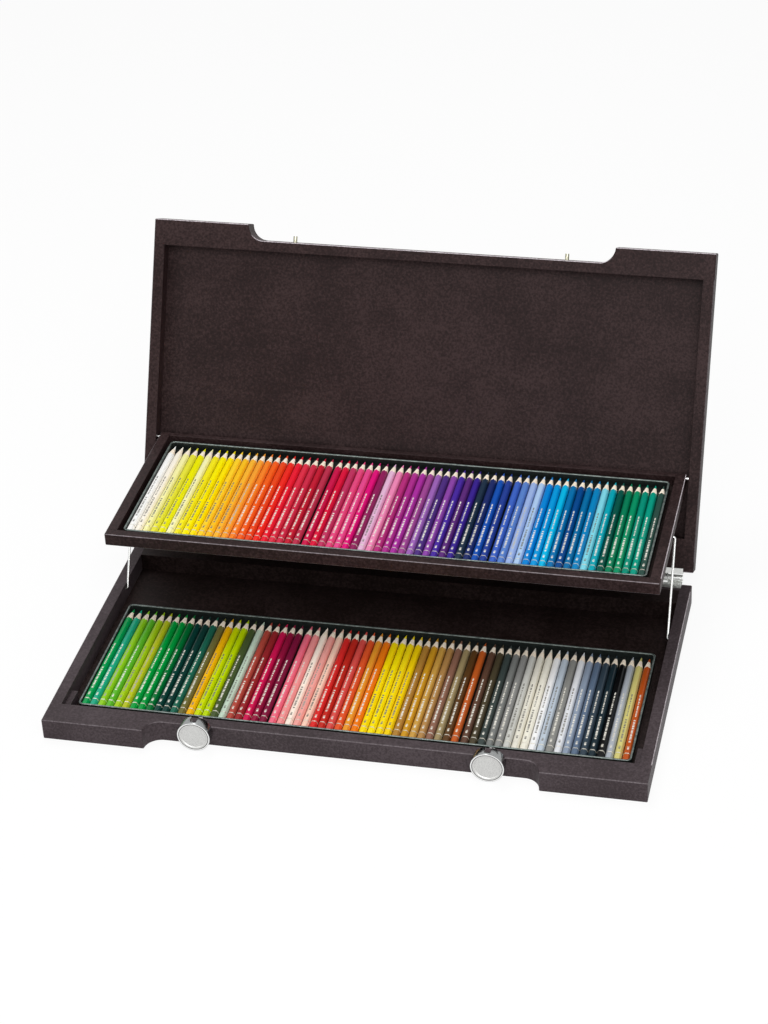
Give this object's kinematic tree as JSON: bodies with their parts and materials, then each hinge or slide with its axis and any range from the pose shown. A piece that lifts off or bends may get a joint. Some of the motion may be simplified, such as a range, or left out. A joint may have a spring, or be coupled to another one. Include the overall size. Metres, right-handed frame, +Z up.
{
  "type": "two-tier wooden pencil box",
  "caption": "Shallow hinged wooden box whose lid lifts a level upper tray on wire links; both tiers hold rows of coloured pencils, and slotted front knobs lock the lid.",
  "frame": {"origin": "middle of the base's underside, on the surface that the box stands on", "axes": "+X along the front to the right as seen from the front, +Y from the front edge to the hinges, +Z up"},
  "size_m": [0.616, 0.5175, 0.3385],
  "materials": {
    "stained_wood": "dark stain, satin",
    "pencil_lacquer": "coloured gloss lacquer",
    "grey_tin": "satin grey",
    "satin_aluminium": "satin anodised",
    "bright_steel": "bright"
  },
  "bodies": {
    "base": {"base_front_rail": "stained_wood", "base_rear_wall": "stained_wood", "base_rear_ledge": "stained_wood", "base_panel": "stained_wood", "base_wall_left": "stained_wood", "base_wall_right": "stained_wood", "rest_block_left": "stained_wood", "rest_block_right": "stained_wood", "base_hinge_leaf_left": "satin_aluminium", "base_hinge_leaf_right": "satin_aluminium", "hinge_pin_left": "bright_steel", "hinge_pin_right": "bright_steel", "base_hinge_screws": "bright_steel", "lower_tin": "grey_tin", "lower_pencils_1": "pencil_lacquer", "lower_pencils_2": "pencil_lacquer", "lower_pencils_3": "pencil_lacquer"},
    "lid": {"lid_front_rail": "stained_wood", "lid_rear_wall": "stained_wood", "lid_rear_ledge": "stained_wood", "lid_panel": "stained_wood", "lid_wall_left": "stained_wood", "lid_wall_right": "stained_wood", "lid_hinge_leaf_left": "satin_aluminium", "lid_hinge_leaf_right": "satin_aluminium", "lid_hinge_screws": "bright_steel", "latch_pin_left": "bright_steel", "latch_pin_right": "bright_steel", "tray_pin_left": "bright_steel", "tray_pin_right": "bright_steel"},
    "tray": {"tray_front_rail": "stained_wood", "tray_rear_rail": "stained_wood", "tray_panel": "stained_wood", "tray_rail_left": "stained_wood", "tray_rail_right": "stained_wood", "upper_tin": "grey_tin", "upper_pencils_1": "pencil_lacquer", "upper_pencils_2": "pencil_lacquer", "upper_pencils_3": "pencil_lacquer"},
    "left_link": {"link_rod_left": "bright_steel"},
    "right_link": {"link_rod_right": "bright_steel"},
    "left_lock": {"knob_left": "satin_aluminium", "knob_spindle_left": "bright_steel"},
    "right_lock": {"knob_right": "satin_aluminium", "knob_spindle_right": "bright_steel"}
  },
  "joints": [
    {"name": "lid_hinge", "type": "hinge", "parent": "base", "child": "lid", "pos_m": [0, 0.177, 0.026], "axis": [1, 0, 0], "range_deg": [0, 116]},
    {"name": "left_link_pivot", "type": "hinge", "parent": "base", "child": "left_link", "pos_m": [0, 0.077, 0.0172], "axis": [1, 0, 0], "range_deg": [0, 116]},
    {"name": "right_link_pivot", "type": "hinge", "parent": "base", "child": "right_link", "pos_m": [0, 0.077, 0.0172], "axis": [1, 0, 0], "range_deg": [0, 116]},
    {"name": "tray_pivot", "type": "hinge", "parent": "lid", "child": "tray", "pos_m": [0, 0.22633, 0.12099], "axis": [1, 0, 0], "range_deg": [-116, 0]},
    {"name": "left_knob_turn", "type": "hinge", "parent": "base", "child": "left_lock", "pos_m": [-0.1495, -0.153, 0.018], "axis": [0, 1, 0], "range_deg": [-90, 0]},
    {"name": "right_knob_turn", "type": "hinge", "parent": "base", "child": "right_lock", "pos_m": [0.1495, -0.153, 0.018], "axis": [0, 1, 0], "range_deg": [0, 90]}
  ],
  "couplings": [
    {"joint": "left_link_pivot", "follows": "lid_hinge", "ratio": 1},
    {"joint": "right_link_pivot", "follows": "lid_hinge", "ratio": 1},
    {"joint": "tray_pivot", "follows": "lid_hinge", "ratio": -1}
  ]
}
